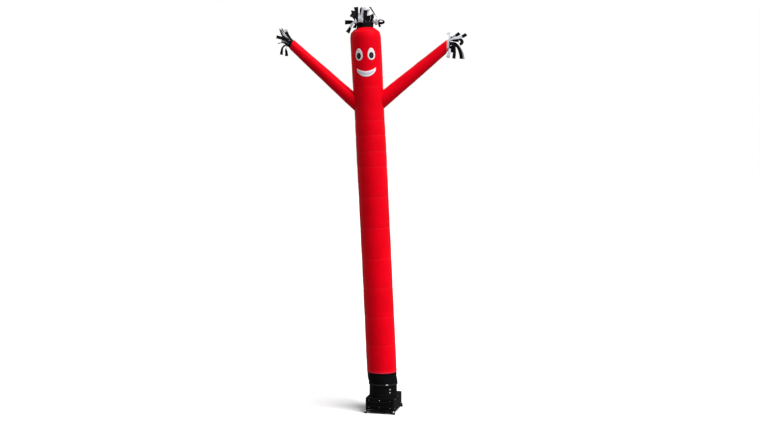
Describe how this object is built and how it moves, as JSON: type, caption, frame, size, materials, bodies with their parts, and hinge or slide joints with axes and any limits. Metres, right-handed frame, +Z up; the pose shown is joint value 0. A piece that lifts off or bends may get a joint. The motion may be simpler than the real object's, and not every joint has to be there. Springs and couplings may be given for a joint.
{
  "type": "inflatable air dancer on a fan blower",
  "caption": "Leaning red cloth tube figure with a face, two raised arms and black and white streamers, on a fan blower with a skid frame.",
  "frame": {"origin": "on the floor plane under the feet, below the middle of the bounding box", "axes": "+Z up, +X to the right across both arms as seen from the front, the face looks towards -Y"},
  "size_m": [2.976, 0.7212, 6.3879],
  "materials": {
    "red_nylon": "satin",
    "black_nylon": "satin",
    "white_nylon": "satin",
    "webbing": "matte",
    "blower_paint": "satin",
    "plastic": "matte",
    "bright_steel": "polished",
    "rubber": "matte"
  },
  "bodies": {
    "root": {"trunk": "red_nylon", "crown": "red_nylon", "arm_left": "red_nylon", "arm_right": "red_nylon", "eye_left": "white_nylon", "eye_right": "white_nylon", "pupil_left": "black_nylon", "pupil_right": "black_nylon", "mouth": "white_nylon", "hair_black": "black_nylon", "hair_white": "white_nylon", "hand_left_black": "black_nylon", "hand_left_white": "white_nylon", "hand_right_black": "black_nylon", "hand_right_white": "white_nylon", "sleeve": "black_nylon", "strap": "webbing", "buckle": "plastic", "duct": "blower_paint", "flange": "blower_paint", "latch_plate": "plastic", "latch_screw_upper": "bright_steel", "latch_screw_lower": "bright_steel", "housing": "blower_paint", "louvre": "blower_paint", "gland": "plastic", "rail_left": "blower_paint", "rail_right": "blower_paint", "crossbar_front": "blower_paint", "crossbar_back": "blower_paint", "block_front_left": "blower_paint", "block_front_right": "blower_paint", "block_back_left": "blower_paint", "block_back_right": "blower_paint", "cap_front_left": "bright_steel", "cap_front_right": "bright_steel", "cap_back_left": "bright_steel", "cap_back_right": "bright_steel", "foot_front_left": "rubber", "foot_front_right": "rubber", "foot_back_left": "rubber", "foot_back_right": "rubber"}
  },
  "joints": []
}
